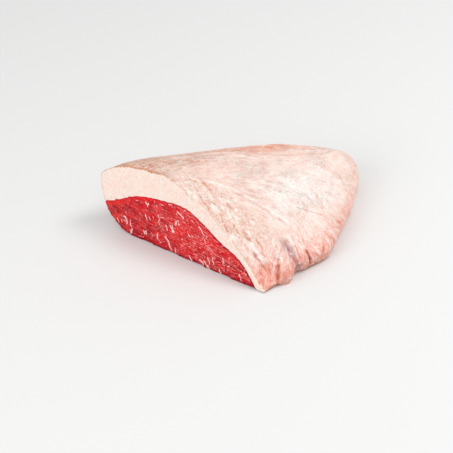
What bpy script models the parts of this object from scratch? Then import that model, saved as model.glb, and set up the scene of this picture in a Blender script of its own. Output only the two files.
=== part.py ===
"""Raw picanha: the thin end of a rump cap, cut straight across and lying with its fat up.

Two layers show at the cut, and each is one solid:
  lean      the red muscle, which lies on the table and curls up off it along the left side
  fat_cap   the thick fat over it, which folds down round the right side and the tip

The trimmed piece is shaped whole. A knife block takes off its near end, and a block whose top
is the seam between the layers parts it into lean and fat. Lengths are in millimetres until the
meshes are made. +X runs along the cut, +Y from the cut to the thin tip and +Z up, and the
origin is on the table, below the middle of the piece.
"""
import math

import bmesh
import bpy
from mathutils import Matrix, Vector

NAME = "raw_picanha"
MM = 0.001

# The widest outline of the piece seen from above, as x, y, anticlockwise from the cut's right
# end. Its last points are beyond the knife.
OUTLINE = (
    (110, -80), (120, -50), (125, -15), (115, 20), (100, 55), (80, 87), (50, 76),
    (0, 35), (-50, -25), (-75, -65), (-82, -100), (-40, -122), (30, -124), (85, -112),
)
MIDDLE = Vector((22, -36))

# The crest of the top runs from above the cut to the tip, and the top falls away beside it.
CREST_START = Vector((-15, -76))
CREST_END = Vector((76, 80))
CREST_HEIGHTS = (64, 62, 56, 49, 42, 39, 38)     # evenly spaced from the cut to the tip
LEFT_REACH = 56
LEFT_FALL = 0.22                    # share of the height lost at LEFT_REACH
RIGHT_REACH = 96
RIGHT_FALL = 0.56                   # share of the height lost at RIGHT_REACH
LEFT_POWER = 2                      # how steadily the top falls away on each side
RIGHT_POWER = 1.6

# The cut: its foot on the table, its slump backwards and its turn from the X axis.
CUT_FOOT = -75.5
CUT_LEAN = math.radians(12)
CUT_TURN = math.radians(-2.2)
CUT_DEPTH = 45                      # how far behind the cut its own edge lines still lead
KNIFE_BLOCK = (500, 150, 400)
CUT_TOP = (                         # top edge of the cut face, as x, z
    (-80, 50), (-50, 58), (-10, 64), (10, 63), (30, 54), (45, 50), (60, 40), (80, 28), (107, 2),
)
CUT_SEAM = (                        # line between fat and lean on the cut face, as x, z
    (-90, 15), (-60, 24), (-30, 37), (0, 42), (25, 43), (45, 35), (60, 27), (85, 16), (112, -16),
)

# The side, from the widest line down to the edge that meets the table.
RIGHT_WIDEST = 11                   # height of the widest line on the right
RIGHT_TUCK = 4                      # how far the edge on the table is in from it
CORNER_WIDEST = 3                   # the same height at the cut's thin right end
CORNER_REACH = (-10, 35)            # where it changes, as distances behind the cut
LEFT_WIDEST = 41
LEFT_TUCK = 48
LEFT_REGION = (10, -40)             # where the right side turns into the left, from the crest
SHOULDER_POWER = 9                  # how squarely the top turns down into the side
UNDERSIDE_POWER = 1.6               # how flatly the curled left side slants in

# The fat: its depth under the top, and how it turns down inside the right side.
LEFT_FAT = 24
RIGHT_FAT = 11
FAT_REGION = (40, -55)              # where it changes between them, from the crest
FOLDED_FAT = 9                      # thickness of the part that hangs down to the table
FOLD_ROUNDING = 34                  # how far in the lean's right edge starts to round over
FOLDED_TURNS = (-0.04, 0.44)        # stretch of the outline where the fat hangs down
LAYER_GAP = 0.3

# Folds where the fat gathers towards the table. Depth in (minus swells out), half width, and
# where each starts softly on the top and ends beyond the side.
FOLDS = (
    (3.6, 7.5, ((80, -28), (125, -52))),
    (3.0, 4.5, ((95, -52), (120, -70))),
    (2.2, 4.0, ((88, -57), (115, -76))),
    (2.4, 3.6, ((102, -18), (130, -40))),
    (-2.4, 6.5, ((90, -45), (122, -62))),
    (-1.5, 7.0, ((108, -8), (134, -28))),
    (1.0, 4.0, ((104, 12), (130, 6))),
)
FOLD_START = 0.45                   # share of its run over which a fold deepens

# Fineness of the facets.
TURNS = 100                         # round the outline
RINGS = 34                          # from the middle of the top to the middle of the base
TOP_SHARE = 0.66                    # share of the rings on the top
SIDE_SHARE = 0.25                   # share of the rings on the side
RING_CROWDING = 1.5                 # how much closer the rings of the top are near the side
SEAM_COLUMNS = 48
SEAM_ROWS = 42
SEAM_MIDDLE = Vector((25, -5))
SEAM_HALF = Vector((125, 110))
SEAM_DIVE = 30                      # how far below the table the seam is followed
SEAM_STEEPNESS = 3                  # how steeply it goes on down there


def ease(low, high, value):
    """Smooth step from 0 at low to 1 at high."""
    share = min(max((value - low) / (high - low), 0), 1)
    return share * share * (3 - 2 * share)


def blend(start, end, share):
    """Value a share of the way from start to end."""
    return start + (end - start) * share


def curve(points, place):
    """Smooth closed curve through the points, at a place counted in points."""
    first = math.floor(place)
    t = place - first
    a, b, c, d = (Vector(points[(first + step) % len(points)]) for step in (-1, 0, 1, 2))
    return b + t / 2 * (c - a + t * (2 * a - 5 * b + 4 * c - d + t * (3 * (b - c) + d - a)))


def height_line(points, x):
    """Height at x on a smooth line through (x, height) points, level beyond its ends."""
    if x <= points[0][0]:
        return points[0][1]
    if x >= points[-1][0]:
        return points[-1][1]
    index = max(i for i, point in enumerate(points) if point[0] <= x)
    before = points[max(index - 1, 0)]
    start = points[index]
    end = points[index + 1]
    after = points[min(index + 2, len(points) - 1)]
    width = end[0] - start[0]
    rise = (end[1] - before[1]) / (end[0] - before[0]) * width
    run = (after[1] - start[1]) / (after[0] - start[0]) * width
    t = (x - start[0]) / width
    drop = start[1] - end[1]
    return start[1] + t * (rise + t * (-3 * drop - 2 * rise - run + t * (2 * drop + rise + run)))


def line_place(points, spot):
    """Distance from a spot to a line of points, and the share of the line passed there."""
    best = (math.inf, 0)
    for index in range(len(points) - 1):
        start = Vector(points[index])
        run = Vector(points[index + 1]) - start
        share = min(max((spot - start).dot(run) / run.length_squared, 0), 1)
        distance = (spot - start - run * share).length
        best = min(best, (distance, (index + share) / (len(points) - 1)))
    return best


def outline(turn):
    """Point on the widest outline, for a turn from 0 to 1 round it."""
    return curve(OUTLINE, turn * len(OUTLINE))


def crest_place(spot):
    """Share of the way along the crest, and distance to its right."""
    crest = CREST_END - CREST_START
    offset = spot - CREST_START
    along = offset.dot(crest) / crest.length_squared
    aside = (offset.x * crest.y - offset.y * crest.x) / crest.length
    return along, aside


def dome_height(spot):
    """Height of the broad top."""
    along, aside = crest_place(spot)
    steps = len(CREST_HEIGHTS) - 1
    crest = height_line([(i / steps, h) for i, h in enumerate(CREST_HEIGHTS)], along)
    if aside < 0:
        return crest * (1 - LEFT_FALL * (-aside / LEFT_REACH)**LEFT_POWER)
    return crest * (1 - RIGHT_FALL * (aside / RIGHT_REACH)**RIGHT_POWER)


def inland(spot, height):
    """0 at the cut face, rising to 1 where the cut's own edge lines no longer lead."""
    face = CUT_FOOT + spot.x * math.tan(CUT_TURN) + height * math.tan(CUT_LEAN)
    depth = spot.y - face
    share = min(max(depth / CUT_DEPTH, 0), 1)
    return share * (2 - share)


def top_height(spot):
    """Height of the top: the cut's edge line, swelling into the dome behind it."""
    edge = height_line(CUT_TOP, spot.x)
    return blend(edge, dome_height(spot), inland(spot, edge))


def fold_depth(spot):
    """How far the folds draw the skin in at a place seen from above."""
    depth = 0
    for deepest, half_width, points in FOLDS:
        distance, share = line_place(points, spot)
        depth += deepest * ease(0, FOLD_START, share) * math.exp(-(distance / half_width)**2)
    return depth


def skin(turn, fall):
    """Point on the whole piece, turn of the way round it and fall of the way down it."""
    rim = outline(turn)
    left = ease(*LEFT_REGION, crest_place(rim)[1])
    low = blend(CORNER_WIDEST, RIGHT_WIDEST, ease(*CORNER_REACH, rim.y - CUT_FOOT))
    widest = blend(low, LEFT_WIDEST, left)
    tuck = blend(RIGHT_TUCK, LEFT_TUCK, left)
    outward = (rim - MIDDLE).normalized()
    foot = rim - outward * tuck
    if fall < TOP_SHARE:
        reach = 1 - (1 - fall / TOP_SHARE)**RING_CROWDING
        spot = MIDDLE.lerp(rim, reach)
        sideways = reach**SHOULDER_POWER
        downwards = 1 - sideways
        height = blend(widest, top_height(spot), math.sqrt(max(downwards, 0)))
    elif fall < TOP_SHARE + SIDE_SHARE:
        angle = (fall - TOP_SHARE) / SIDE_SHARE * math.pi / 2
        spot = foot.lerp(rim, math.cos(angle)**(2 / UNDERSIDE_POWER))
        height = widest * (1 - math.sin(angle)**(2 / UNDERSIDE_POWER))
        sideways = 1
        downwards = 0
    else:
        share = (1 - fall) / (1 - TOP_SHARE - SIDE_SHARE)
        spot = MIDDLE.lerp(foot, share)
        height = 0
        sideways = share
        downwards = 0
    depth = fold_depth(spot)
    spot -= outward * depth * sideways
    return Vector((spot.x, spot.y, height - depth * downwards))


def whole_piece():
    """The trimmed piece before the cut: a sphere whose points move to the skin."""
    piece = bmesh.new()
    bmesh.ops.create_uvsphere(piece, u_segments=TURNS, v_segments=RINGS, radius=1)
    for vertex in piece.verts:
        turn = math.atan2(vertex.co.y, vertex.co.x) / math.tau % 1
        fall = math.acos(min(max(vertex.co.z, -1), 1)) / math.pi
        vertex.co = skin(turn, fall)
    bmesh.ops.recalc_face_normals(piece, faces=piece.faces)
    return piece


def seam_height(spot, hanging):
    """Height of the seam: the fat's depth below the top, diving inside the hanging fat."""
    nearest = min(hanging, key=lambda point: (point - spot).length)
    inside = (nearest - spot).length - FOLDED_FAT
    if (spot - MIDDLE).length > (nearest - MIDDLE).length:
        inside = -(nearest - spot).length - FOLDED_FAT
    depth = blend(RIGHT_FAT, LEFT_FAT, ease(*FAT_REGION, crest_place(spot)[1]))
    height = dome_height(spot) - depth
    if inside < 0:
        height = max(SEAM_STEEPNESS * inside, -SEAM_DIVE)
    elif inside < FOLD_ROUNDING:
        height *= math.sqrt(1 - (1 - inside / FOLD_ROUNDING)**2)
    edge = height_line(CUT_SEAM, spot.x)
    return blend(edge, height, inland(spot, edge))


def seam_block(offset):
    """Block that fills the lean's side of the seam, its top moved off the seam by offset."""
    block = bmesh.new()
    bmesh.ops.create_grid(block, x_segments=SEAM_COLUMNS, y_segments=SEAM_ROWS, size=1)
    bmesh.ops.triangulate(block, faces=block.faces, quad_method="FIXED")
    first, last = FOLDED_TURNS
    count = TURNS * 2
    hanging = [outline(index / count) for index in range(int(first * count), int(last * count))]
    for vertex in block.verts:
        spot = SEAM_MIDDLE + vertex.co.xy * SEAM_HALF
        vertex.co = (spot.x, spot.y, seam_height(spot, hanging))
    block.normal_update()
    for vertex in block.verts:
        vertex.co += vertex.normal * offset
    made = bmesh.ops.extrude_face_region(block, geom=block.faces[:])["geom"]
    for vertex in (item for item in made if isinstance(item, bmesh.types.BMVert)):
        vertex.co.z = -2 * SEAM_DIVE
    bmesh.ops.recalc_face_normals(block, faces=block.faces)
    return block


def knife_block():
    """Block that takes off all in front of the cut."""
    block = bmesh.new()
    bmesh.ops.create_cube(block, size=1)
    bmesh.ops.scale(block, verts=block.verts, vec=KNIFE_BLOCK)
    bmesh.ops.translate(block, verts=block.verts, vec=(0, -KNIFE_BLOCK[1] / 2, 0))
    bmesh.ops.rotate(block, verts=block.verts, matrix=Matrix.Rotation(-CUT_LEAN, 3, "X"))
    bmesh.ops.rotate(block, verts=block.verts, matrix=Matrix.Rotation(CUT_TURN, 3, "Z"))
    bmesh.ops.translate(block, verts=block.verts, vec=(0, CUT_FOOT, 0))
    return block


def place(name, shape, collection, root):
    """Make an object in metres from a bmesh in millimetres."""
    mesh = bpy.data.meshes.new(name)
    bmesh.ops.scale(shape, verts=shape.verts, vec=(MM, MM, MM))
    shape.to_mesh(mesh)
    shape.free()
    thing = bpy.data.objects.new(name, mesh)
    thing.parent = root
    collection.objects.link(thing)
    return thing


def place_cutter(name, shape, collection, root):
    """Make an object that only cuts others."""
    cutter = place(name, shape, collection, root)
    cutter.hide_render = True
    cutter.display_type = "WIRE"
    return cutter


def cut(thing, operation, cutter):
    """Cut an object with a cutter, by a Boolean modifier that stays live."""
    boolean = thing.modifiers.new(cutter.name, "BOOLEAN")
    boolean.operation = operation
    boolean.object = cutter
    boolean.solver = "EXACT"


def finish(thing, colour, roughness):
    """Give an object its material."""
    material = bpy.data.materials.new(thing.name)
    material.use_nodes = True
    shader = material.node_tree.nodes["Principled BSDF"]
    shader.inputs["Base Color"].default_value = (*colour, 1)
    shader.inputs["Roughness"].default_value = roughness
    shader.inputs["Metallic"].default_value = 0
    thing.data.materials.append(material)


def stand_over_origin(root, things):
    """Move everything so that the origin is below the middle of the finished pieces."""
    bpy.context.view_layer.update()
    graph = bpy.context.evaluated_depsgraph_get()
    corners = [Vector(corner) for thing in things for corner in thing.evaluated_get(graph).bound_box]
    low = Vector(min(corner[axis] for corner in corners) for axis in range(3))
    high = Vector(max(corner[axis] for corner in corners) for axis in range(3))
    root.location = (-(low.x + high.x) / 2, -(low.y + high.y) / 2, -low.z)


def main():
    """Clear the scene and build the piece."""
    for thing in list(bpy.data.objects):
        bpy.data.objects.remove(thing)
    parts = bpy.data.collections.new(NAME)
    cutters = bpy.data.collections.new("cutters")
    bpy.context.scene.collection.children.link(parts)
    bpy.context.scene.collection.children.link(cutters)
    root = bpy.data.objects.new("piece", None)
    parts.objects.link(root)

    knife = place_cutter("knife", knife_block(), cutters, root)
    below_fat = place_cutter("below_fat", seam_block(LAYER_GAP / 2), cutters, root)
    above_lean = place_cutter("above_lean", seam_block(-LAYER_GAP / 2), cutters, root)

    fat_cap = place("fat_cap", whole_piece(), parts, root)
    cut(fat_cap, "DIFFERENCE", knife)
    cut(fat_cap, "DIFFERENCE", below_fat)
    finish(fat_cap, colour=(0.87, 0.68, 0.58), roughness=0.42)

    lean = place("lean", whole_piece(), parts, root)
    cut(lean, "DIFFERENCE", knife)
    cut(lean, "INTERSECT", above_lean)
    finish(lean, colour=(0.60, 0.03, 0.04), roughness=0.35)

    stand_over_origin(root, (fat_cap, lean))


main()
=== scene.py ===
import math
import random

import bmesh
import bpy
import numpy as np
from mathutils import Matrix, Vector, noise
from mathutils.bvhtree import BVHTree
from mathutils.kdtree import KDTree


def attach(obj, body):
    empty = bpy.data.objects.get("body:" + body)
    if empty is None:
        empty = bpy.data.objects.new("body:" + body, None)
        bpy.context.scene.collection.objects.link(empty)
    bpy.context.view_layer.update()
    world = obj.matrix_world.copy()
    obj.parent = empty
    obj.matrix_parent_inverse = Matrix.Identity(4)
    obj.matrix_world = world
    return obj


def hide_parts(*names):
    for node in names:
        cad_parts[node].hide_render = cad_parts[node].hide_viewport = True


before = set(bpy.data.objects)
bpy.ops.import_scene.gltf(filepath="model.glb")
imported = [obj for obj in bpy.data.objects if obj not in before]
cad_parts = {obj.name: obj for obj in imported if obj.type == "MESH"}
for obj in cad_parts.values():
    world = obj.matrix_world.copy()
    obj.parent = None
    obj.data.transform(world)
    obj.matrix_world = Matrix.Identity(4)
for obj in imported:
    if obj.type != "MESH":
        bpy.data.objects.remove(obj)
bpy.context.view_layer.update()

# --- Lean -------------------------------------------------------------------------------------
# The red muscle, cut straight across with a knife. Its face shows bundles of fibre, short
# flecks of marbling that run up and down, and a dry silvery film on the sides that were
# trimmed before. It is one closed mesh that follows its solid, with the relief worked in.

MM = 0.001
LEAN_SPACING = 1.1                  # mm between the points of its mesh
LEAN_ROUNDS = 14                    # rounds of smoothing that take the facets away
FACE_DEPTH = 0.6                    # mm behind the knife's plane that still count as the cut
TUCK = 0.8                          # mm that the lean reaches up into the fat
SHRINK = 0.55                       # mm that its face lies back from the fat's face
NOISE_SEED = 5                      # without it the noise would follow the clock

noise.seed_set(NOISE_SEED)


def fine_copy(name, node, spacing):
    """Copy of a node as one even closed mesh that fine relief can be worked into."""
    shape = bmesh.new()
    shape.from_mesh(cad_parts[node].data)
    bmesh.ops.remove_doubles(shape, verts=shape.verts, dist=0.01 * MM)
    blank = bpy.data.meshes.new(name)
    shape.to_mesh(blank)
    shape.free()
    piece = bpy.data.objects.new(name, blank)
    bpy.context.scene.collection.objects.link(piece)
    remesh = piece.modifiers.new("even", "REMESH")
    remesh.mode = "VOXEL"
    remesh.voxel_size = spacing * MM
    graph = bpy.context.evaluated_depsgraph_get()
    even = bpy.data.meshes.new_from_object(piece.evaluated_get(graph))
    piece.modifiers.clear()
    piece.data = even
    return piece


def knife_plane():
    """Point on the knife's cut, in mm, and the cut's outward direction, from the lean's face."""
    faces = [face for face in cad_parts["lean"].data.polygons if face.normal.y < -0.9]
    area = sum(face.area for face in faces)
    outward = sum((face.normal * face.area for face in faces), Vector()).normalized()
    return sum((face.center * face.area for face in faces), Vector()) / area / MM, outward


CUT_POINT, CUT_OUTWARD = knife_plane()


def soften(piece, rounds):
    """Smooth away the facets of the blank, but keep the flat cut and its edge."""
    shape = bmesh.new()
    shape.from_mesh(piece.data)
    skin = [v for v in shape.verts if (CUT_POINT - v.co / MM).dot(CUT_OUTWARD) > FACE_DEPTH]
    for _ in range(rounds):
        bmesh.ops.smooth_vert(
            shape, verts=skin, factor=0.5, use_axis_x=True, use_axis_y=True, use_axis_z=True
        )
    shape.to_mesh(piece.data)
    shape.free()


def refine_face(piece):
    """Halve the spacing on the cut face, where the finest detail shows."""
    shape = bmesh.new()
    shape.from_mesh(piece.data)
    edges = [
        e for e in shape.edges
        if all((CUT_POINT - v.co / MM).dot(CUT_OUTWARD) < FACE_DEPTH for v in e.verts)
    ]
    bmesh.ops.subdivide_edges(shape, edges=edges, cuts=1, use_grid_fill=True)
    bmesh.ops.triangulate(shape, faces=[f for f in shape.faces if len(f.verts) > 4])
    shape.to_mesh(piece.data)
    shape.free()


def places_of(piece):
    """Places of a piece's points, in mm."""
    places = np.empty(len(piece.data.vertices) * 3)
    piece.data.vertices.foreach_get("co", places)
    return places.reshape(-1, 3) / MM


def normals_of(piece):
    """Outward directions at a piece's points."""
    normals = np.empty(len(piece.data.vertices) * 3)
    piece.data.vertex_normals.foreach_get("vector", normals)
    return normals.reshape(-1, 3)


def put_points(piece, places):
    """Put a piece's points at places in mm."""
    piece.data.vertices.foreach_set("co", (places * MM).ravel())
    piece.data.update()


def record_on(piece, name, values):
    """Keep a number or three for each point, which the finish reads by name."""
    kind, field = ("FLOAT", "value") if values.ndim == 1 else ("FLOAT_VECTOR", "vector")
    attribute = piece.data.attributes.new(name, kind, "POINT")
    attribute.data.foreach_set(field, values.astype(np.float32).ravel())


def ease(low, high, values):
    """Smooth step from 0 at low to 1 at high."""
    share = np.clip((values - low) / (high - low), 0, 1)
    return share * share * (3 - 2 * share)


def ripple(places, lengths):
    """Smooth noise from -1 to 1, whose waves have these lengths along each axis."""
    return np.array([noise.noise(place) for place in places / np.array(lengths)])


def gap_to(places, node):
    """Distances from places to the surface of a node's solid, in mm."""
    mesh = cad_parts[node].data
    corners = [corner.co / MM for corner in mesh.vertices]
    tree = BVHTree.FromPolygons(corners, [tuple(face.vertices) for face in mesh.polygons])
    return np.array([tree.find_nearest(place)[3] for place in places])


def behind_cut(places):
    """How far places lie behind the knife's plane, in mm."""
    return (np.array(CUT_POINT) - places) @ np.array(CUT_OUTWARD)


# How many bold and fine flecks of marbling the cut gets; they are drawn at random with FLECK_SEED.
LARGE_FLECKS = 40                   # bold flecks of marbling on the cut
SMALL_FLECKS = 330
FLECK_SEED = 11


def marbling(face):
    """How far inside a fleck of marbling each place on the cut face is, in mm."""
    draw = random.Random(FLECK_SEED)
    flecks = []
    for number in range(LARGE_FLECKS + SMALL_FLECKS):
        large = number < LARGE_FLECKS
        x, _, z = face[draw.randrange(len(face))]
        steep = large or draw.random() < 0.62
        lean_over = math.radians(draw.gauss(20, 20) if steep else draw.gauss(98, 10))
        length = draw.uniform(3, 8) if large else min(draw.expovariate(1 / 1.3) + 0.4, 4.5)
        end = (x + length * math.sin(lean_over), z - length * math.cos(lean_over))
        bend = draw.uniform(-0.25, 0.25) * length
        middle = ((x + end[0]) / 2 + bend, (z + end[1]) / 2)
        width = draw.uniform(0.35, 0.7) if large else draw.uniform(0.06, 0.28)
        flecks.append((width, ((x, z), middle, end)))
    beads = []
    for width, line in flecks:
        taper = draw.choice((-0.7, 0.7))
        for leg, ((ax, az), (bx, bz)) in enumerate(zip(line, line[1:])):
            count = max(int(math.hypot(bx - ax, bz - az) / 0.3), 1)
            for step in range(count):
                share = step / count
                passed = (leg + share) / (len(line) - 1)
                half = width * (1 + taper * (passed - 0.4))
                beads.append((ax + (bx - ax) * share, az + (bz - az) * share, half))
    tree = KDTree(len(beads))
    for index, (x, z, _) in enumerate(beads):
        wander = noise.noise_vector((x / 2.5, z / 2.5, 3)) * 0.6
        tree.insert((x + wander.x, 0, z + wander.z), index)
    tree.balance()
    inside = []
    for x, _, z in face:
        _, index, gap = tree.find((x, 0, z))
        swell = 1 + 0.8 * noise.noise((x / 1.4, z / 1.4, 8))
        inside.append(beads[index][2] * swell - gap)
    return np.array(inside)


TIP_REACH = 2.8                     # mm that the left tip of the seam sticks out


def drawn_out(places):
    """The places, with the thin left tip of the seam drawn out to the side."""
    x, _, z = places.T
    moved = places.copy()
    moved[:, 0] -= TIP_REACH * ease(-66, -88, x) * np.exp(-((z - 15) / 7)**2)
    return moved


lean = fine_copy("lean_meat", "lean", LEAN_SPACING)
soften(lean, LEAN_ROUNDS)
refine_face(lean)
lean_places = places_of(lean)
lean_normals = normals_of(lean)
lean_behind = behind_cut(lean_places)
lean_face = lean_behind < FACE_DEPTH
under_fat = gap_to(lean_places, "fat_cap")

fibre = ripple(lean_places, (14, 6, 2.2)) + 0.6 * ripple(lean_places, (5, 3, 1.1))
bulge = 0.35 * ripple(lean_places, (20, 20, 9)) + 0.12 * fibre
bulge += 0.5 * ripple(lean_places + 9, (6, 9, 30)) * ease(6, 1, lean_places[:, 2])
sides = 0.5 * ripple(lean_places, (16, 16, 8)) + 0.25 * ripple(lean_places, (5, 5, 3))
touching = ease(1.2, 0.4, under_fat) * ~lean_face
on_table = ease(1.2, 0.2, lean_places[:, 2]) * ease(-0.6, -0.9, lean_normals[:, 2])
off_seam = 0.35 + 0.65 * ease(0.3, 2.0, under_fat)
push = np.where(lean_face, (bulge - SHRINK) * off_seam, sides) * (1 - on_table)
push = np.where(lean_face, push, push * (1 - touching) + TUCK * touching)
lean_moved = lean_places + lean_normals * push[:, None]
lean_moved[:, 2] += TUCK * lean_face * ease(2.2, 0.3, under_fat)
lean_moved[:, 2] = np.maximum(lean_moved[:, 2], 0)
put_points(lean, drawn_out(lean_moved))

flecks = np.full(len(lean_places), -3.0)
flecks[lean_face] = marbling(lean_places[lean_face])
record_on(lean, "marbling", flecks)
record_on(lean, "behind_cut", lean_behind)
record_on(lean, "under_fat", under_fat)


class Socket:
    """A socket in a finish. Sums on it add Math nodes."""

    def __init__(self, finish, socket):
        self.finish = finish
        self.socket = socket

    def math(self, operation, *values):
        return self.finish.node("ShaderNodeMath", {"operation": operation}, *values)

    def __add__(self, other):
        return self.math("ADD", self, other)

    def __sub__(self, other):
        return self.math("SUBTRACT", self, other)

    def __rsub__(self, other):
        return self.math("SUBTRACT", other, self)

    def __mul__(self, other):
        return self.math("MULTIPLY", self, other)

    def magnitude(self):
        return self.math("ABSOLUTE", self)

    __radd__ = __add__
    __rmul__ = __mul__


class Finish:
    """A material on the Principled shader, whose nodes are added one call at a time."""

    def __init__(self, name, **constants):
        self.material = bpy.data.materials.new(name)
        self.material.use_nodes = True
        self.tree = self.material.node_tree
        self.shader = self.tree.nodes["Principled BSDF"]
        for label, value in constants.items():
            self.shader.inputs[label.replace("_", " ")].default_value = value

    def plug(self, socket, value):
        """Link or set one socket."""
        if isinstance(value, Socket):
            self.tree.links.new(value.socket, socket)
        elif value is not None:
            socket.default_value = value

    def node(self, kind, settings, *values, output=0, **named):
        """Add a node with its settings first, and then what its sockets take."""
        made = self.tree.nodes.new(kind)
        for name, value in settings.items():
            setattr(made, name, value)
        for socket, value in zip(made.inputs, values):
            self.plug(socket, value)
        for name, value in named.items():
            self.plug(made.inputs[name.replace("_", " ")], value)
        return Socket(self, made.outputs[output])

    def kept(self, name):
        """A number that the mesh keeps for each point."""
        return self.node("ShaderNodeAttribute", {"attribute_name": name}, output=2)

    def kept_vector(self, name):
        """A direction or colour that the mesh keeps for each point."""
        return self.node("ShaderNodeAttribute", {"attribute_name": name}, output=1)

    def place(self, stretch=(1, 1, 1), turn=(0, 0, 0), source=None):
        """Object coordinates in mm, turned and then squeezed along each axis."""
        if source is None:
            source = self.node("ShaderNodeTexCoord", {}, output=3)
            stretch = tuple(1000 * share for share in stretch)
        mapping = self.tree.nodes.new("ShaderNodeMapping")
        mapping.vector_type = "TEXTURE" if turn != (0, 0, 0) else "POINT"
        if turn != (0, 0, 0):
            self.plug(mapping.inputs["Rotation"], turn)
            self.plug(mapping.inputs["Vector"], source)
            return self.place(stretch, (0, 0, 0), Socket(self, mapping.outputs[0]))
        self.plug(mapping.inputs["Vector"], source)
        self.plug(mapping.inputs["Scale"], stretch)
        return Socket(self, mapping.outputs[0])

    def noise(self, place, size, detail=2, roughness=0.5, distortion=0):
        """Smooth noise from 0 to 1, with waves of a size in mm."""
        return self.node(
            "ShaderNodeTexNoise", {}, Vector=place, Scale=1 / size, Detail=detail,
            Roughness=roughness, Distortion=distortion,
        )

    def fade(self, value, low, high):
        """Smooth step from 0 at low to 1 at high."""
        settings = {"interpolation_type": "SMOOTHSTEP"}
        if low <= high:
            return self.node("ShaderNodeMapRange", settings, value, low, high, 0, 1)
        return self.node("ShaderNodeMapRange", settings, value, high, low, 1, 0)

    def blend(self, share, first, second, way="MIX"):
        """Colour between two others."""
        made = self.tree.nodes.new("ShaderNodeMix")
        made.data_type = "RGBA"
        made.blend_type = way
        for index, value in ((0, share), (6, first), (7, second)):
            self.plug(made.inputs[index], value)
        return Socket(self, made.outputs[2])

    def bump(self, height, depth, under=None):
        """Relief as high as depth in mm, over any relief below it."""
        return self.node(
            "ShaderNodeBump", {}, Height=height, Distance=depth * MM, Strength=1, Normal=under
        )

    def wear(self, piece, **sockets):
        """Feed the shader and put the material on a piece."""
        for label, value in sockets.items():
            self.plug(self.shader.inputs[label.replace("_", " ")], value)
        piece.data.materials.clear()
        piece.data.materials.append(self.material)
        piece.data.shade_smooth()


def paint(red, green, blue):
    """Linear colour from the usual 0 to 255 one."""
    return (*(((share / 255 + 0.055) / 1.055) ** 2.4 for share in (red, green, blue)), 1)


meat = Finish(
    "raw_beef", Subsurface_Weight=0.1, Subsurface_Radius=(1.0, 0.25, 0.2), Subsurface_Scale=0.0015,
    Specular_IOR_Level=0.08, Coat_Roughness=0.12, IOR=1.4,
)
x_place = meat.node("ShaderNodeSeparateXYZ", {}, meat.place(), output=0)
z_place = meat.node("ShaderNodeSeparateXYZ", {}, meat.place(), output=2)
along = meat.place((0.14, 0.4, 0.9), turn=(0, math.radians(4), 0))
grain = meat.noise(along, 1.5, detail=4, roughness=0.7, distortion=0.4)
fibres = meat.noise(along, 0.8, detail=2, roughness=0.6, distortion=0.8)
bundles = meat.noise(meat.place((0.4, 0.5, 1)), 6, detail=3, roughness=0.6)
red = meat.blend(meat.fade(bundles, 0.32, 0.62), paint(160, 8, 26), paint(214, 20, 32))
middle = meat.fade((x_place - 5).magnitude(), 45, 15)
red = meat.blend(middle * 0.35, red, paint(232, 52, 56))
red = meat.blend(meat.fade(grain, 0.52, 0.8) * 0.7, red, paint(240, 92, 84))
red = meat.blend(meat.fade(grain, 0.48, 0.24) * 0.75, red, paint(140, 6, 22))
dashed = meat.fade(x_place + bundles * 40, -30, 40) * 0.5 + 0.3
strands = meat.noise(
    meat.place((0.08, 0.4, 1.2), turn=(0, math.radians(5), 0)), 0.9, detail=2, distortion=0.5
)
red = meat.blend(meat.fade(strands, 0.58, 0.64) * (dashed * 0.5 + 0.2), red, paint(244, 132, 122))
red = meat.blend(meat.fade(strands, 0.42, 0.34) * 0.5, red, paint(150, 8, 26))
dashes = meat.noise(meat.place((0.3, 0.8, 1.1), turn=(0, math.radians(8), 0)), 1.1, detail=2)
red = meat.blend(meat.fade(dashes, 0.56, 0.66) * dashed, red, paint(244, 146, 140))
# Painted sheen: greyish pink patches over the fibres stand in for the reflection off the wet face.
painted_sheen = meat.fade(meat.noise(meat.place((0.5, 0.5, 1)), 8, detail=2), 0.42, 0.62)
red = meat.blend(painted_sheen * meat.fade(fibres, 0.5, 0.72) * 0.5, red, paint(222, 150, 150))
tip = meat.fade(x_place, -66, -84) * meat.fade(bundles, 0.35, 0.6)
red = meat.blend(tip * 0.6, red, paint(240, 72, 46))
under_left = meat.fade(x_place, 0, -50) * meat.fade(meat.kept("under_fat"), 4.5, 2.5)
red = meat.blend(under_left * 0.6, red, paint(232, 40, 44))
# Painted shade: a dark crimson line on the face just under the fat's overhang on the right.
fat_overhang_shade = meat.fade(x_place, -20, 25) * meat.fade(meat.kept("under_fat") - grain, 1.6, 0.2)
red = meat.blend(fat_overhang_shade * 0.85, red, paint(170, 8, 28))
low = meat.fade(z_place + bundles * 8, 16, 6)
red = meat.blend(low * 0.28, red, paint(140, 4, 28))
red = meat.blend(meat.fade(x_place, -45, -62) * 0.15, red, paint(140, 4, 28))
# Painted shade: dark crimson along the foot, where the face meets the table.
foot_shade = meat.fade(z_place - bundles * 3, 1.6, -1.2)
red = meat.blend(foot_shade * 0.8, red, paint(140, 4, 26))
fleck = meat.fade(meat.kept("marbling") + (fibres - 0.5) * 0.5, -0.16, 0.2)
red = meat.blend(fleck * 0.92, red, paint(250, 204, 198))
film = meat.fade(meat.kept("behind_cut"), 1.0, 3.5)
patches = meat.noise(meat.place((0.4, 0.4, 1)), 7, detail=4, roughness=0.6)
side = meat.blend(meat.fade(patches, 0.42, 0.68), paint(176, 28, 40), paint(226, 150, 146))
colour = meat.blend(film, red, side)
relief = meat.bump(grain, 0.6, meat.bump(meat.kept("marbling"), 0.25))
wet = meat.fade(bundles, 0.5, 0.66) * 0.16
rough = meat.fade(grain, 0.2, 0.9) * 0.25 + 0.35
meat.wear(lean, Base_Color=colour, Roughness=rough, Coat_Weight=wet, Normal=relief)
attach(lean, "root")
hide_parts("lean")

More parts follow.
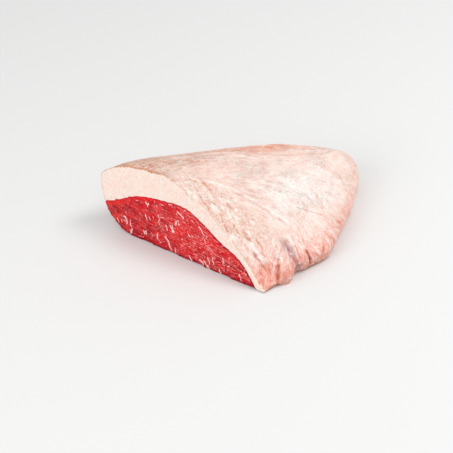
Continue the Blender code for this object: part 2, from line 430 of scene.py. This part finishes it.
# --- Fat cap ----------------------------------------------------------------------------------
# The thick fat over the lean, under a thin papery skin. Its cut edge is smooth and cream. The
# skin is combed into fine streaks, tan along the back, and gathered into puffs and folds where
# the fat turns down to the table. Shade and highlights on its folds are partly painted into its colour. It
# is one closed mesh as well.

FAT_SPACING = 0.9                   # mm between the points of its mesh
FAT_ROUNDS = 26                     # rounds of smoothing that take the facets away

# Lines over the top: rise in mm (a groove is below 0), half width in mm, how dark their painted
# brown shade is (below 0, how white their painted highlight is), and their two ends seen from above.
TOP_LINES = (
    (-0.7, 0.8, 0.7, (-50, -60), (-45, -50)),
    (-0.6, 0.7, 0.6, (-45, -40), (-15, -20)),
    (-0.5, 0.7, 0.5, (-70, -50), (-30, -45)),
    (-0.5, 0.8, 0.6, (60, -15), (85, 0)),
    (-0.3, 0.6, 0.5, (35, 25), (50, 25)),
)
# Big folds at the front right corner: the same, but each end is a bearing in degrees round
# PLEAT_MIDDLE and a height.
CORNER_FOLDS = (
    (2.7, 4.2, -0.2, (-45, 30), (-40, 6)),
    (-2.7, 1.3, 1.0, (-42, 16), (-45, 3)),
    (1.9, 2.4, -0.5, (-35, 28), (-30, 12)),
    (-2.6, 1.1, 1.0, (-25, 18), (-25, 3)),
    (1.6, 2.2, -0.9, (-60, 30), (-50, 14)),
    (-1.2, 1.0, 0.7, (-58, 26), (-48, 8)),
)
HOLLOW = ((-38, 26), (-32, 4))      # hollow beside the round ridge, given as the folds are; the finish paints bluish shade in it
HOLLOW_WIDE = 2.9
HOLLOW_DEEP = 3.2
PLEAT_MIDDLE = (20, -5)
SMALL_PLEATS = 16                   # between the bearings of PLEATED, every second one a ridge with a painted highlight, the others grooves with painted shade
PLEATED = (-48, 15)
STRIP = (-12, 62)                   # stretch of the cut, in x, whose skin is creased and puffed
STRIP_DEPTH = 20                    # mm that it reaches back from the cut
STRIP_CREASES = 20
PUFFS = 8
# Edge of a thin sheet of fat that lies over the strip, seen from above, its height and run.
SHEET = ((-12, -55), (20, -38), (75, -31))
SHEET_HIGH = 1.5
SHEET_RUN = 9
SKIN_SEED = 7
FAR_OUT = 200                       # mm, well outside the piece
WANDER = 0.9                        # mm that a line strays from its points


def smooth_line(points, step):
    """Even steps along a smooth line through the points."""
    points = [Vector(point) for point in points]
    points = [points[0] * 2 - points[1], *points, points[-1] * 2 - points[-2]]
    line = []
    for a, b, c, d in zip(points, points[1:], points[2:], points[3:]):
        count = max(int((c - b).length / step), 1)
        for index in range(count):
            t = index / count
            line.append(b + t / 2 * (c - a + t * (2 * a - 5 * b + 4 * c - d + t * (3 * (b - c) + d - a))))
    line.append(points[-2])
    return line


def strayed(places, size, far):
    """The places, each moved up to so far by smooth noise with waves of a size."""
    return places + far * np.array([noise.noise_vector(place) for place in places / size])


def beside(places, normals, tree, points, reach):
    """The places within reach of a line on the skin, and how each lies to it: its distance,
    its distance to the left of the line (seen from outside) and the share of the line passed."""
    line = np.array([tree.find_nearest(spot)[0] for spot in smooth_line(points, 0.7)])
    near = np.flatnonzero(((places > line.min(0) - reach) & (places < line.max(0) + reach)).all(1))
    stray = strayed(places[near], 5, WANDER)
    gaps = strayed(stray, 2, 0.4 * WANDER)[:, None] - line[None]
    facing = normals[near][:, None]
    gaps -= 0.9 * (gaps * facing).sum(2, keepdims=True) * facing
    lengths = np.linalg.norm(gaps, axis=2)
    nearest = lengths.argmin(1)
    distance = lengths[np.arange(len(near)), nearest]
    ways = np.gradient(line, axis=0)
    left = np.cross(normals[near], ways[nearest])
    left /= np.linalg.norm(left, axis=1)[:, None] + 1e-9
    aside = (gaps[np.arange(len(near)), nearest] * left).sum(1)
    kept = distance < reach
    return near[kept], distance[kept], aside[kept], nearest[kept] / (len(line) - 1)


def ends(share, soft=0.22):
    """1 along a line, fading to 0 at its ends."""
    return ease(0, soft, share) * ease(1, 1 - soft, share)


def combed(places):
    """Places told along, across and down the streaks, which bend over towards the right side."""
    x, y, z = places.T
    across = y - 0.8 * x + 0.00775 * x**2
    slope = 0.8 - 0.0155 * x
    along = x * np.sqrt(1 + slope**2)
    down = z * (0.25 + 0.75 * ease(40, -10, x - 0.5 * y))
    return np.stack((along, across / np.sqrt(1 + slope**2), down), axis=1)


def pleated(places):
    """Places told round the front right corner and down its slope, which the pleats follow."""
    x, y, z = places.T
    x, y = x - PLEAT_MIDDLE[0], y - PLEAT_MIDDLE[1]
    round_it = np.arctan2(y, x) * 70
    return np.stack((round_it, np.hypot(x, y) * 0.6 - z, z * 0), axis=1)


fat = fine_copy("fat_layer", "fat_cap", FAT_SPACING)
soften(fat, FAT_ROUNDS)
fat_places = places_of(fat)
fat_normals = normals_of(fat)
fat_behind = behind_cut(fat_places)
fat_face = (fat_behind < FACE_DEPTH) & (fat_normals @ np.array(CUT_OUTWARD) > 0.5)
above_lean = gap_to(fat_places, "lean")
fat_tree = BVHTree.FromPolygons(
    [tuple(place) for place in fat_places], [tuple(face.vertices) for face in fat.data.polygons]
)

skin_tree = KDTree(int((~fat_face).sum()))
for index in np.flatnonzero(~fat_face & (above_lean > 2.5)):
    skin_tree.insert(fat_places[index], int(index))
skin_tree.balance()
into_face = -fat_behind
into_face[fat_face] = [skin_tree.find(place)[2] for place in fat_places[fat_face]]

streaks = combed(fat_places)
pleats = pleated(fat_places)
x, y, z = fat_places.T
outside = ease(0.6, 2.5, above_lean) * (1 - fat_face)
corner = ease(34, 20, z) * ease(48, 64, x) * ease(-22, -38, y)     # pleats of the front right
strip = ease(-26, -6, x) * ease(-34, -48, y) * ease(20, 32, z)     # puffs along the cut
rim = ease(30, 18, z) * ease(30, 66, x) * (1 - corner)             # the right side

push = 0.35 * ripple(streaks, (60, 24, 24)) + 0.3 * ripple(streaks, (26, 7, 7))
push += 0.22 * ripple(streaks, (10, 2.8, 2.8))
bent = strayed(fat_places, 9, 2.5)
turned = bent @ np.array(Matrix.Rotation(math.radians(-14), 3, "Z"))
puffs = np.abs(ripple(turned + 40, (18, 9, 12)))
creases = np.abs(ripple(turned + 90, (7, 3, 5)))
fine = np.abs(ripple(turned + 60, (3.4, 1.6, 3)))
bent = strayed(pleats, 9, 2.5)
folds = np.abs(ripple(bent + 40, (8, 26, 9)))
small_folds = np.abs(ripple(bent + 90, (3.6, 11, 9)))
crimps = np.abs(ripple(bent + 20, (2.8, 11, 7)))
push += strip * (0.6 * puffs + 0.3 * creases + 0.1 * fine - 0.25)
push += corner * (0.5 * folds + 0.6 * small_folds + 0.2 * fine - 0.3)
push += rim * (0.5 * folds + 0.6 * crimps - 0.3)
crease_shade = np.zeros(len(x))
crest_highlight = np.zeros(len(x))
# Where the skin lies in the valleys of the crimps and small folds; the finish paints pinker shade there.
crimped = 0.8 * rim * ease(0.2, 0.02, crimps) + 0.6 * corner * ease(0.2, 0.02, small_folds)


def on_top(x, y):
    """Place on the skin, seen from above."""
    return fat_tree.ray_cast(Vector((x, y, FAR_OUT)), Vector((0, 0, -1)))[0]


def on_side(bearing, height):
    """Place on the skin, on a bearing round PLEAT_MIDDLE and at a height."""
    turn = math.radians(bearing)
    outwards = Vector((math.cos(turn), math.sin(turn), 0))
    return fat_tree.ray_cast(Vector((*PLEAT_MIDDLE, height)) + outwards * FAR_OUT, -outwards)[0]


def behind_edge(x, depth):
    """Place on the skin, so far behind the cut's top edge."""
    ahead = fat_places[(np.abs(fat_places[:, 0] - x) < 1.5) & ~fat_face & (above_lean > 2.5)]
    return on_top(x, ahead[:, 1].min() + depth)


draw = random.Random(SKIN_SEED)
lines = [(rise, wide, shading, (on_top(*a), on_top(*b))) for rise, wide, shading, a, b in TOP_LINES]
lines += [(rise, wide, shading, (on_side(*a), on_side(*b))) for rise, wide, shading, a, b in CORNER_FOLDS]
for number in range(SMALL_PLEATS):
    bearing = PLEATED[0] + (PLEATED[1] - PLEATED[0]) * number / (SMALL_PLEATS - 1) + draw.uniform(-2, 2)
    top = draw.uniform(15, 22)
    ends_at = (on_side(bearing, top), on_side(bearing + draw.uniform(-4, 4), top - draw.uniform(7, 14)))
    lines.append((0.7, 0.9, -0.7, ends_at) if number % 2 else (-0.9, 0.9, 0.7, ends_at))
for number in range(STRIP_CREASES):
    x_at = STRIP[0] + (STRIP[1] - STRIP[0]) * number / (STRIP_CREASES - 1)
    depth = draw.uniform(2, STRIP_DEPTH)
    ends_at = (
        behind_edge(x_at, depth),
        behind_edge(x_at + draw.uniform(5, 13), min(max(depth + draw.uniform(-6, 6), 2), STRIP_DEPTH)),
    )
    lines.append((0.8, 1.0, -0.6, ends_at) if number % 3 == 2 else (-0.9, 0.9, 0.7, ends_at))

# Each line's relief, with painted brown shade along a groove and a painted white highlight along a crest.
for rise, half_width, shading, points in lines:
    near, distance, _, share = beside(fat_places, fat_normals, fat_tree, points, 3 * half_width + 3)
    swell = 1 + 0.5 * ripple(fat_places[near], (4, 4, 4))
    along_it = ends(share)
    section = np.exp(-(distance / half_width)**(1.4 if rise < 0 else 2))
    push[near] += rise * section * along_it * swell
    if shading > 0:
        bank = np.exp(-((distance - 2.6 * half_width) / half_width / 1.5)**2)
        push[near] -= 0.25 * rise * bank * along_it * swell
        crease_dark = np.exp(-(distance / (0.5 + 0.6 * half_width))**2) * along_it * np.clip(swell, 0.5, 1.2)
        crease_shade[near] = np.maximum(crease_shade[near], shading * crease_dark)
    elif shading < 0:
        crest_highlight[near] = np.maximum(crest_highlight[near], -shading * section * along_it * np.clip(swell, 0.3, 1))
hollow_line = [on_side(*end) for end in HOLLOW]
near, distance, _, share = beside(fat_places, fat_normals, fat_tree, hollow_line, 12)
hollow = np.zeros(len(x))
hollow[near] = np.exp(-(distance / HOLLOW_WIDE)**2) * ease(0, 0.35, share)
push -= HOLLOW_DEEP * hollow
for number in range(PUFFS):
    middle = behind_edge(STRIP[0] + (STRIP[1] - STRIP[0]) * (number + 0.5) / PUFFS, draw.uniform(4, 12))
    gap = strayed(fat_places, 7, 1.5) - np.array(middle)
    turn = math.radians(draw.uniform(15, 50))
    along_it = (gap[:, 0] * math.cos(turn) + gap[:, 1] * math.sin(turn)) / draw.uniform(5, 8)
    across_it = (gap[:, 1] * math.cos(turn) - gap[:, 0] * math.sin(turn)) / draw.uniform(3, 4.5)
    rise = draw.uniform(1.0, 2.2)
    push += rise * np.exp(-(along_it**2 + across_it**2 + (gap[:, 2] / 12)**2)**1.5)
sheet_line = [on_top(*spot) for spot in SHEET]
near, _, aside, share = beside(fat_places, fat_normals, fat_tree, sheet_line, 2.5 * SHEET_RUN)
swell = np.clip(0.85 + 0.9 * ripple(fat_places[near], (9, 9, 9)), 0.3, 1.4)
lip = ease(-0.9, 0.9, aside) * np.exp(-np.maximum(aside, 0) / SHEET_RUN)
under = np.exp(-(aside + 1.0)**2)
push[near] += SHEET_HIGH * (lip - 0.5 * under) * ends(share, 0.12) * swell
# Painted highlight along the sheet's crest.
crest = ease(-0.3, 0.6, aside) * ease(3.5, 0.8, aside) * ends(share, 0.1) * np.clip(swell, 0, 1)
crest_highlight[near] = np.maximum(crest_highlight[near], 0.55 * crest)
# Painted shade, brown, in the groove under the sheet's lip.
shading = 0.45 * np.exp(-((aside + 0.8) / 0.8)**2) * ends(share, 0.1) * np.clip(swell, 0, 1)
crease_shade[near] = np.maximum(crease_shade[near], shading)

table = ease(1.5, 0.3, z) * ease(-0.5, -0.9, fat_normals[:, 2])
push *= outside * (1 - table)
outward = np.array(CUT_OUTWARD)
steer = fat_normals - np.outer(np.maximum(fat_normals @ outward, 0) * ease(3, 0.5, fat_behind), outward)
fat_moved = fat_places + steer * push[:, None]
fat_moved[:, 2] = np.maximum(fat_moved[:, 2], 0)
near_rim = np.exp(-(into_face / 2.5)**2) * ease(2, 6, z)
fat_moved[:, 2] += near_rim * (0.9 * ripple(fat_places, (6, 9, 9)) + 0.45 * ripple(fat_places, (2.4, 5, 5)))
put_points(fat, drawn_out(fat_moved))

# Colours of the skin, from its papery cream to where it is tan or shows the meat below, with painted light
# on the top's middle and painted shade in the hollow.
PAPERY = (238, 213, 202)
LIT_WHITE = (236, 231, 227)
TAN_SKIN = (196, 148, 112)
WARM_EDGE = (228, 172, 150)
PUFFED = (230, 210, 200)
FLUSHED = (243, 192, 178)
PINK_FOOT = (232, 166, 148)
HIDDEN_SIDE = (226, 182, 164)
HOLLOW_SHADE = (200, 166, 170)


def linear(red, green, blue):
    """Linear colour from the usual 0 to 255 one, as three numbers."""
    return np.array(paint(red, green, blue)[:3])


def tinted(colours, share, colour):
    """The colours, turned a share of the way to another one."""
    return colours + share[:, None] * (linear(*colour) - colours)


tone = np.tile(linear(*PAPERY), (len(x), 1))
# Painted light: the middle right of the top is whiter where the light falls on it most.
tone = tinted(tone, np.exp(-((x - 55) / 28)**2 - ((y - 5) / 38)**2), LIT_WHITE)
tone = tinted(tone, ease(18, 46, y - 0.9 * x) * ease(40, -10, x), WARM_EDGE)
tone = tinted(tone, 0.5 * ease(0, -55, x) * ease(20, -40, y), TAN_SKIN)
tone = tinted(tone, 0.8 * ease(-50, -90, x), TAN_SKIN)
tone = tinted(tone, 0.8 * strip, PUFFED)
tone = tinted(tone, ease(26, 10, z) * ease(60, 85, x), FLUSHED)
tone = tinted(tone, ease(20, 6, z) * ease(50, 75, x) * ease(-5, -30, y), PINK_FOOT)
tone = tinted(tone, ease(34, 16, z) * ease(10, 40, y - 0.9 * x), HIDDEN_SIDE)
# Painted shade, bluish, in the hollow.
tone = tinted(tone, 0.9 * hollow, HOLLOW_SHADE)
record_on(fat, "tone", tone)
record_on(fat, "streaks", streaks)
record_on(fat, "pleats", pleats)
record_on(fat, "crease_shade", np.clip(crease_shade, 0, 1))
record_on(fat, "crest_highlight", np.clip(crest_highlight, 0, 1))
record_on(fat, "crimped", np.clip(crimped, 0, 1))
record_on(fat, "gathered", np.clip(corner + 0.8 * rim * ease(50, 20, y), 0, 1))
record_on(fat, "crinkled", strip)
record_on(fat, "crinkles", fat_places @ np.array(Matrix.Rotation(math.radians(21), 3, "Y")))
record_on(fat, "rim", rim)
record_on(fat, "into_face", into_face)
record_on(fat, "above_lean", above_lean)

tallow = Finish(
    "beef_fat", Subsurface_Weight=0.12, Subsurface_Radius=(1.0, 0.45, 0.3), Subsurface_Scale=0.0015,
    Specular_IOR_Level=0.35, Coat_Roughness=0.22, IOR=1.42,
)
flow = tallow.kept_vector("streaks")
pleat = tallow.kept_vector("pleats")
combing = tallow.noise(
    tallow.place((0.15, 0.8, 0.8), source=flow), 1.5, detail=5, roughness=0.7, distortion=0.8
)
bands = tallow.noise(
    tallow.place((0.16, 0.8, 0.8), source=flow), 3.6, detail=3, roughness=0.6, distortion=0.6
)
threads = tallow.noise(
    tallow.place((0.25, 1, 1), source=flow), 0.9, detail=3, roughness=0.6, distortion=1.2
)
veins = tallow.noise(
    tallow.place((0.22, 0.8, 0.8), source=flow), 4, detail=3, roughness=0.6, distortion=1.0
)
tucks = tallow.noise(
    tallow.place((1, 0.3, 1), source=pleat), 1.3, detail=4, roughness=0.65, distortion=0.8
)
blotch = tallow.noise(tallow.place(), 7, detail=4, roughness=0.65)
specks = tallow.noise(tallow.place(), 1.6, detail=2, roughness=0.6)
gathered = tallow.kept("gathered")
crinkled = tallow.kept("crinkled")
crimped = tallow.kept("crimped")
vein = tallow.fade((veins - 0.5).magnitude(), 0.022, 0.0)
smooth_skin = (1 - gathered) * (1 - crinkled)
patchy = tallow.fade(tallow.noise(tallow.place(), 20, detail=2), 0.38, 0.6) * 0.65 + 0.35
streaked = smooth_skin * (1 - crimped) * patchy
wrinkles = tallow.noise(
    tallow.place((1, 0.26, 1), source=pleat), 3.0, detail=3, roughness=0.55, distortion=0.6
)
wrinkle_shade = tallow.fade((wrinkles - 0.5).magnitude(), 0.035, 0.005) * gathered
crinkles = tallow.noise(
    tallow.place((0.35, 1, 1), source=tallow.kept_vector("crinkles")), 2.6, detail=3,
    roughness=0.55, distortion=0.8
)
crinkle_shade = tallow.fade((crinkles - 0.5).magnitude(), 0.035, 0.005) * crinkled
x_place = tallow.node("ShaderNodeSeparateXYZ", {}, tallow.place(), output=0)
leftward = tallow.fade(x_place, 15, -45)
tanned = 0.4 + leftward * 0.6

skin = tallow.kept_vector("tone")
skin = tallow.blend(tallow.fade(blotch, 0.5, 0.62) * 0.3, skin, paint(250, 214, 204), "MULTIPLY")
skin = tallow.blend(tallow.fade(blotch, 0.46, 0.34) * 0.3, skin, paint(255, 250, 244))
skin = tallow.blend(
    tallow.fade(bands, 0.48, 0.38) * tanned * streaked, skin, paint(240, 206, 190), "MULTIPLY"
)
skin = tallow.blend(tallow.fade(bands, 0.54, 0.64) * 0.4 * streaked, skin, paint(255, 247, 240))
skin = tallow.blend(tallow.fade(combing, 0.54, 0.62) * 0.5 * streaked, skin, paint(255, 250, 246))
skin = tallow.blend(
    tallow.fade(combing, 0.46, 0.34) * tanned * streaked, skin, paint(238, 200, 184), "MULTIPLY"
)
skin = tallow.blend(
    tallow.fade(threads, 0.44, 0.34) * (0.4 + leftward * 0.5), skin, paint(228, 188, 168), "MULTIPLY"
)
skin = tallow.blend(tallow.fade(threads, 0.57, 0.64) * leftward * 0.5, skin, paint(255, 242, 232))
skin = tallow.blend(vein * (0.5 + leftward * 0.5) * smooth_skin, skin, paint(218, 164, 138), "MULTIPLY")
# Painted shade in the hollows of the tucks and painted highlight on their tops, where the bump raises them.
skin = tallow.blend(tallow.fade(tucks, 0.46, 0.36) * 0.55 * gathered, skin, paint(244, 204, 190), "MULTIPLY")
skin = tallow.blend(tallow.fade(tucks, 0.53, 0.64) * 0.6 * gathered, skin, paint(255, 250, 246))
# Painted shade along thin wrinkle lines in the gathered corner.
skin = tallow.blend(wrinkle_shade * 0.6, skin, paint(226, 168, 144), "MULTIPLY")
# Painted highlight on the tops of the crinkles, and painted shade in their lows and along thin crease lines.
skin = tallow.blend(tallow.fade(crinkles, 0.55, 0.66) * 0.35 * crinkled, skin, paint(255, 247, 240))
skin = tallow.blend(
    tallow.fade(crinkles, 0.46, 0.36) * 0.4 * crinkled, skin, paint(244, 212, 196), "MULTIPLY"
)
skin = tallow.blend(crinkle_shade * 0.8, skin, paint(222, 168, 140), "MULTIPLY")
# Painted shade, pinker, in the crimp valleys.
skin = tallow.blend(crimped * tallow.fade(specks, 0.3, 0.55) * 0.6, skin, paint(248, 190, 174), "MULTIPLY")
# Painted highlight, near white, on the crests.
skin = tallow.blend(tallow.kept("crest_highlight") * 0.8, skin, paint(255, 249, 245))
# Painted shade, brown, in the creases and grooves.
shading = tallow.fade(tallow.kept("crease_shade") + (specks - 0.5) * 0.4, 0.15, 0.95)
skin = tallow.blend(shading * 0.9, skin, paint(204, 104, 74))
smooth = tallow.noise(tallow.place(), 2.2, detail=3, roughness=0.6)
pores = tallow.noise(tallow.place(), 0.8, detail=1)
grains = tallow.noise(tallow.place(), 4.5, detail=3, roughness=0.6, distortion=1.0)
grain = tallow.fade((grains - 0.5).magnitude(), 0.03, 0.004)
cream = tallow.blend(tallow.fade(smooth, 0.42, 0.62), paint(240, 228, 220), paint(238, 213, 201))
cream = tallow.blend(tallow.fade(blotch, 0.52, 0.64) * 0.6, cream, paint(241, 210, 198))
cream = tallow.blend(grain * 0.8, cream, paint(240, 204, 184))
cream = tallow.blend(tallow.fade(pores, 0.54, 0.64) * 0.7, cream, paint(234, 200, 184))
near_lean = tallow.fade(tallow.kept("above_lean"), 1.7, 0.6)
cream = tallow.blend(near_lean * 0.8, cream, paint(250, 244, 238))
on_cut = tallow.fade(tallow.kept("into_face") + (smooth - 0.5) * 1.2, -0.4, 0.2)
colour = tallow.blend(on_cut, skin, cream)
edge = tallow.fade((tallow.kept("into_face") + 0.9).magnitude(), 2.3, 1.0)
edge = edge * tallow.fade(x_place + bands * 40, 10, -25)
colour = tallow.blend(edge * tallow.fade(specks, 0.3, 0.5) * 0.85, colour, paint(216, 140, 94))
# Painted shade: dark crimson along the seam, where the fat's lower edge overhangs the lean.
seam_shade = tallow.fade(tallow.kept("above_lean"), 1.5, 0.8) * tallow.fade(x_place, -25, 5)
colour = tallow.blend(seam_shade * 0.9, colour, paint(176, 20, 40))
off_cut = 1 - on_cut
lifted = streaked * off_cut * (1 - tallow.kept("rim") * 0.7)
relief = tallow.bump((combing + bands * 2) * lifted, 0.9)
relief = tallow.bump(threads * lifted, 0.45, relief)
relief = tallow.bump(tucks * gathered * off_cut, 1.1, relief)
relief = tallow.bump(crinkles * crinkled * off_cut, 1.4, relief)
relief = tallow.bump(smooth * on_cut, 0.12, relief)
wet = tallow.fade(blotch, 0.42, 0.6) * (0.12 + (gathered + crinkled) * 0.35)
rough = 0.5 - gathered * 0.12
tallow.wear(fat, Base_Color=colour, Roughness=rough, Coat_Weight=wet, Normal=relief)
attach(fat, "root")
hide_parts("fat_cap")

# --- Studio -----------------------------------------------------------------------------------
# A plain white table top in a white room, with one broad soft light high behind on the right
# and a weak one that lifts the cut. None of it is part of the piece.

floor_shape = bmesh.new()
bmesh.ops.create_grid(floor_shape, x_segments=1, y_segments=1, size=3)
floor_mesh = bpy.data.meshes.new("table_top")
floor_shape.to_mesh(floor_mesh)
floor_shape.free()
floor = bpy.data.objects.new("table_top", floor_mesh)
bpy.context.scene.collection.objects.link(floor)
table_white = Finish("white_table", Base_Color=(0.74, 0.74, 0.735, 1), Roughness=0.6)
table_white.wear(floor)

room = bpy.data.worlds.new("room")
room.use_nodes = True
room.node_tree.nodes["Background"].inputs["Strength"].default_value = 0.75
room.node_tree.nodes["Background"].inputs["Color"].default_value = (1, 1, 1, 1)
bpy.context.scene.world = room
bpy.context.scene.view_settings.view_transform = "Standard"


def soft_light(name, place, size, power):
    """Square lamp aimed at the piece."""
    lamp = bpy.data.lights.new(name, "AREA")
    lamp.size = size
    lamp.energy = power
    thing = bpy.data.objects.new(name, lamp)
    aim = Vector(place).to_track_quat("Z", "Y").to_matrix().to_4x4()
    thing.matrix_world = Matrix.Translation(place) @ aim
    bpy.context.scene.collection.objects.link(thing)


soft_light("window", (0.75, 0.5, 1.2), 0.6, 9.5)
soft_light("lift", (-0.2, -1.3, 0.75), 1.0, 8)

# --- Camera -----------------------------------------------------------------------------------
# It looks down on the cut from its right, tipped a little.

AZIMUTH = math.radians(43.94)
ELEVATION = math.radians(34.12)
ROLL = math.radians(8.02)
CAMERA_PLACE = Vector((0.679, -0.734, 0.665))
LENS = 113.1

camera_data = bpy.data.cameras.new("camera")
camera_data.lens = LENS
camera = bpy.data.objects.new("camera", camera_data)
turn = Matrix.Rotation(AZIMUTH, 4, "Z") @ Matrix.Rotation(math.pi / 2 - ELEVATION, 4, "X")
camera.matrix_world = Matrix.Translation(CAMERA_PLACE) @ turn @ Matrix.Rotation(-ROLL, 4, "Z")
bpy.context.scene.collection.objects.link(camera)
bpy.context.scene.camera = camera
